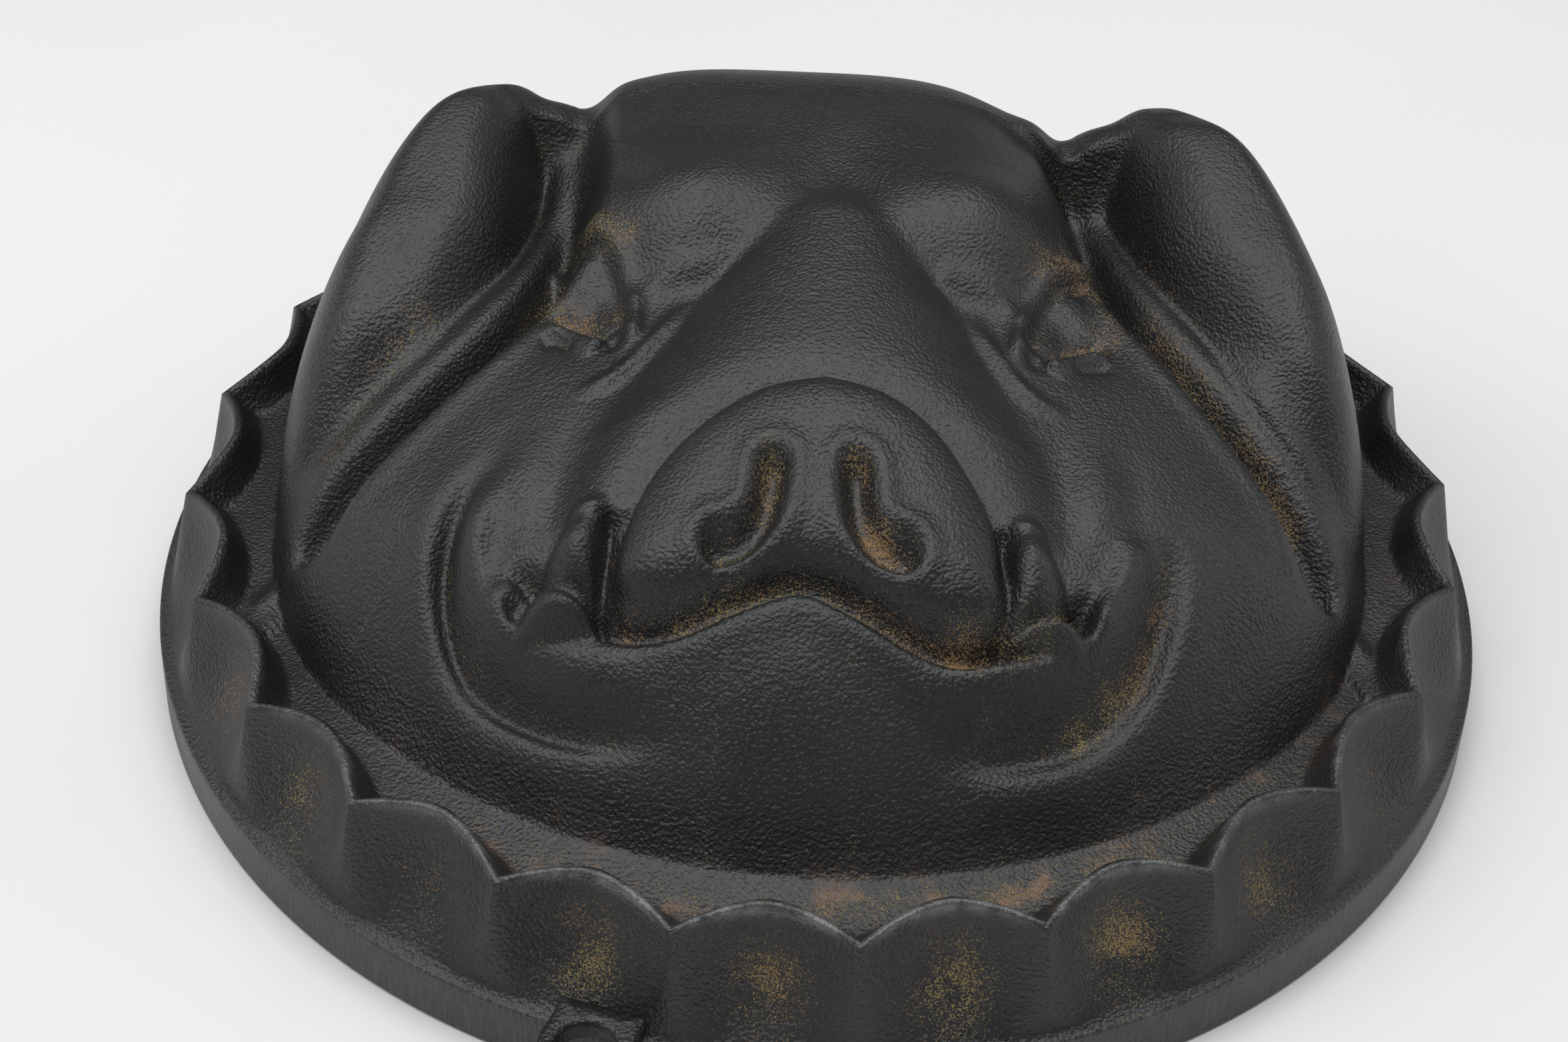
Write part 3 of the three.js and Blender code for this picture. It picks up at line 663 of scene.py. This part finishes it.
def wire_material():
    n = Nodes("ring_wire")
    clouds, grain = n.noise(240, 3.0, 0.6), n.noise(2400, 2.0, 0.6)
    colour = n.mix(n.ramp(clouds, 0.4, 0.65), (0.16, 0.155, 0.15, 1), (0.07, 0.055, 0.045, 1))
    n.put(n.shader.inputs["Base Color"], colour)
    n.put(n.shader.inputs["Roughness"], n.ramp(clouds, 0.3, 0.7, 0.32, 0.6))
    n.put(n.shader.inputs["Normal"], n.bump(grain, 0.3, 0.00005))
    n.shader.inputs["Metallic"].default_value = 0.9
    return n.material


def floor_material():
    n = Nodes("pale_floor")
    tone = n.mix(n.ramp(n.noise(6, 2.0), 0.3, 0.7), (0.79, 0.79, 0.80, 1), (0.815, 0.815, 0.815, 1))
    n.put(n.shader.inputs["Base Color"], tone)
    n.shader.inputs["Roughness"].default_value = 0.85
    return n.material


# ---------------------------------------------------------------- camera, light and floor
def camera(centre):
    data = bpy.data.cameras.new("camera")
    data.lens, data.sensor_width = CAMERA_LENS, 36.0
    data.clip_start, data.clip_end = 0.01, 20
    obj = bpy.data.objects.new("camera", data)
    place, aim = Vector(CAMERA_PLACE) * MM + Vector(centre), Vector(CAMERA_AIM) * MM + Vector(centre)
    turn = (aim - place).to_track_quat("-Z", "Y") @ Quaternion((0, 0, 1), math.radians(CAMERA_ROLL))
    obj.matrix_world = Matrix.Translation(place) @ turn.to_matrix().to_4x4()
    bpy.context.collection.objects.link(obj)
    bpy.context.scene.camera = obj


def softbox(name, place, aim, size, power, tint=(1, 1, 1)):
    data = bpy.data.lights.new(name, "AREA")
    data.shape, data.size, data.size_y, data.energy, data.color = "RECTANGLE", size[0], size[1], power, tint
    obj = bpy.data.objects.new(name, data)
    obj.location = place
    obj.rotation_mode = "QUATERNION"
    obj.rotation_quaternion = (Vector(aim) - Vector(place)).to_track_quat("-Z", "Y")
    bpy.context.collection.objects.link(obj)


def lights():
    world = bpy.data.worlds.new("studio")
    bpy.context.scene.world = world
    world.use_nodes = True
    sky = world.node_tree.nodes["Background"]
    sky.inputs["Color"].default_value = (0.95, 0.97, 1.0, 1)
    sky.inputs["Strength"].default_value = 0.17
    softbox("overhead", (-0.12, -0.06, 1.0), (0, 0, 0.03), (1.1, 1.7), 13.5)
    softbox("left", (-0.9, 0.15, 0.5), (0, 0, 0.03), (0.6, 0.8), 1.6, (1, 0.97, 0.93))
    softbox("right", (0.9, 0.15, 0.45), (0, 0, 0.03), (0.6, 0.8), 1.6, (1, 0.97, 0.93))


def floor():
    half, drop = 3.0, -0.0002
    points = [(-half, -half, drop), (half, -half, drop), (half, half, drop), (-half, half, drop)]
    obj = mesh_object("floor", points, [0, 1, 2, 3], [4], smooth=False)
    obj.data.materials.append(floor_material())


# ---------------------------------------------------------------- the scene
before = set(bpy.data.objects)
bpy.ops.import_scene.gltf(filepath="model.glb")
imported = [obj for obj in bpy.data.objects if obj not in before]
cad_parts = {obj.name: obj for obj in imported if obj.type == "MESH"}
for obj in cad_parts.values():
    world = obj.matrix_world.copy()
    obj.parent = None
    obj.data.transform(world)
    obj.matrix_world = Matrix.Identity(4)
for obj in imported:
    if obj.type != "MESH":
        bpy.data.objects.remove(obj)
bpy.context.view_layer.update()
bpy.context.scene.view_settings.view_transform = "Standard"

iron_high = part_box("mould_casting")[1]
rim_centre = np.array([0.0, iron_high[1] - RIM_RADIUS * MM, 0.0])
camera(rim_centre)
lights()
floor()

iron = iron_material()
relief = casting_piece(rim_centre)
relief.data.materials.append(iron)
eye = eye_piece(rim_centre)
eye.data.materials.append(iron)
for piece in (relief, eye):
    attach(piece, "mould")
    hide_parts("mould_casting")

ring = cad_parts["hanging_ring"]
ring.data.materials.clear()
ring.data.materials.append(wire_material())
for face in ring.data.polygons:
    face.use_smooth = True
